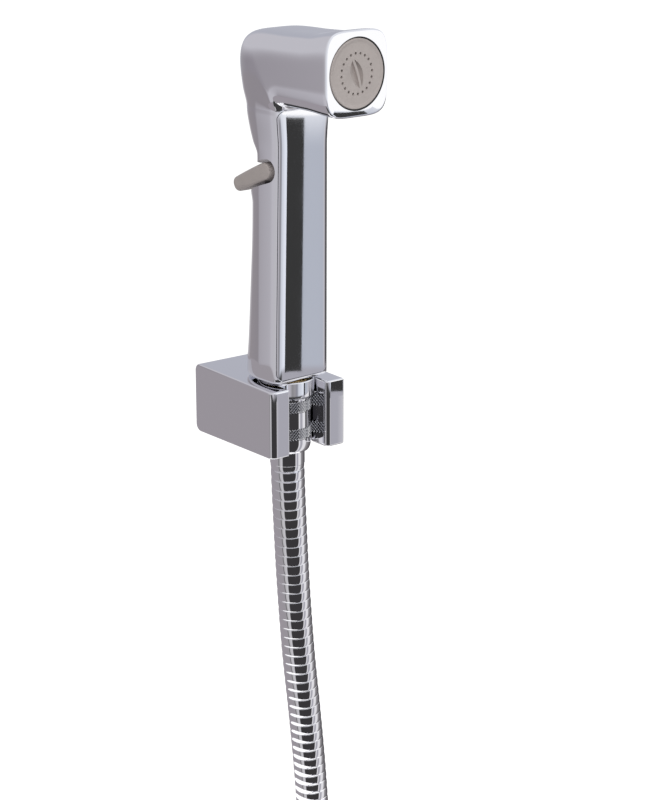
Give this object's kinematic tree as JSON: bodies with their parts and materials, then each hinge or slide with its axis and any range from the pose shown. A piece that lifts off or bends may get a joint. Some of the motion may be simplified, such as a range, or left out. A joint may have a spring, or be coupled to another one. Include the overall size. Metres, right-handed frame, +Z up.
{
  "type": "handheld bidet shower",
  "caption": "Handheld bidet shower: flat chrome handset with a trigger at its back, resting in a wall fork, on a corrugated metal hose.",
  "frame": {"origin": "centre of the wall plate's back face, on the wall", "axes": "+Z up, +Y into the wall, so the spray face looks towards -Y and the trigger towards the wall; +X is to the right as seen from the front"},
  "size_m": [0.1704, 0.209, 0.486],
  "materials": {
    "chrome": "polished",
    "warm_grey_plastic": "satin moulded",
    "inner_plastic": "moulded",
    "rubber": "moulded",
    "brass": "turned",
    "steel": "bright"
  },
  "bodies": {
    "handset_on_wall": {"handset_shell": "chrome", "handle_panel": "chrome", "spray_plate": "warm_grey_plastic", "spray_seal": "rubber", "spray_socket": "inner_plastic", "outlet_tube": "inner_plastic", "valve_body": "brass", "valve_spring": "steel", "stem_seal": "rubber", "gland_nut": "brass", "trigger_pin": "steel", "riser_tube": "inner_plastic", "inlet_spigot": "brass", "inlet_seal": "rubber", "cone_nut": "chrome", "cone_washer": "rubber", "upper_tail": "brass", "upper_ferrule": "chrome", "hose": "chrome", "hose_coil": "chrome", "lower_ferrule": "chrome", "lower_tail": "brass", "tap_washer": "rubber", "wall_holder": "chrome", "wall_plate": "steel", "holder_grub_screw": "steel"},
    "trigger_lever": {"trigger": "warm_grey_plastic"},
    "stem": {"valve_stem": "steel", "valve_disc": "rubber"},
    "loose_nut": {"tap_nut": "chrome"}
  },
  "joints": [
    {"name": "trigger_swing", "type": "hinge", "parent": "handset_on_wall", "child": "trigger_lever", "pos_m": [-0.00037, -0.03397, 0.10087], "axis": [-0.9986, -0.0523, 0], "range_deg": [0, 5], "stiffness_Nm_per_rad": 0.4, "springref_deg": -8.59},
    {"name": "stem_lift", "type": "slide", "parent": "handset_on_wall", "child": "stem", "axis": [0, 0, 1], "range_m": [0, 0.000687], "deforming": ["valve_spring"]},
    {"name": "tap_nut_spin", "type": "hinge", "parent": "handset_on_wall", "child": "loose_nut", "pos_m": [-0.0341, -0.197, -0.30804], "axis": [-1, 0, 0], "continuous": true}
  ],
  "couplings": [
    {"joint": "trigger_swing", "follows": "stem_lift", "rad_per_m": 126.86}
  ]
}
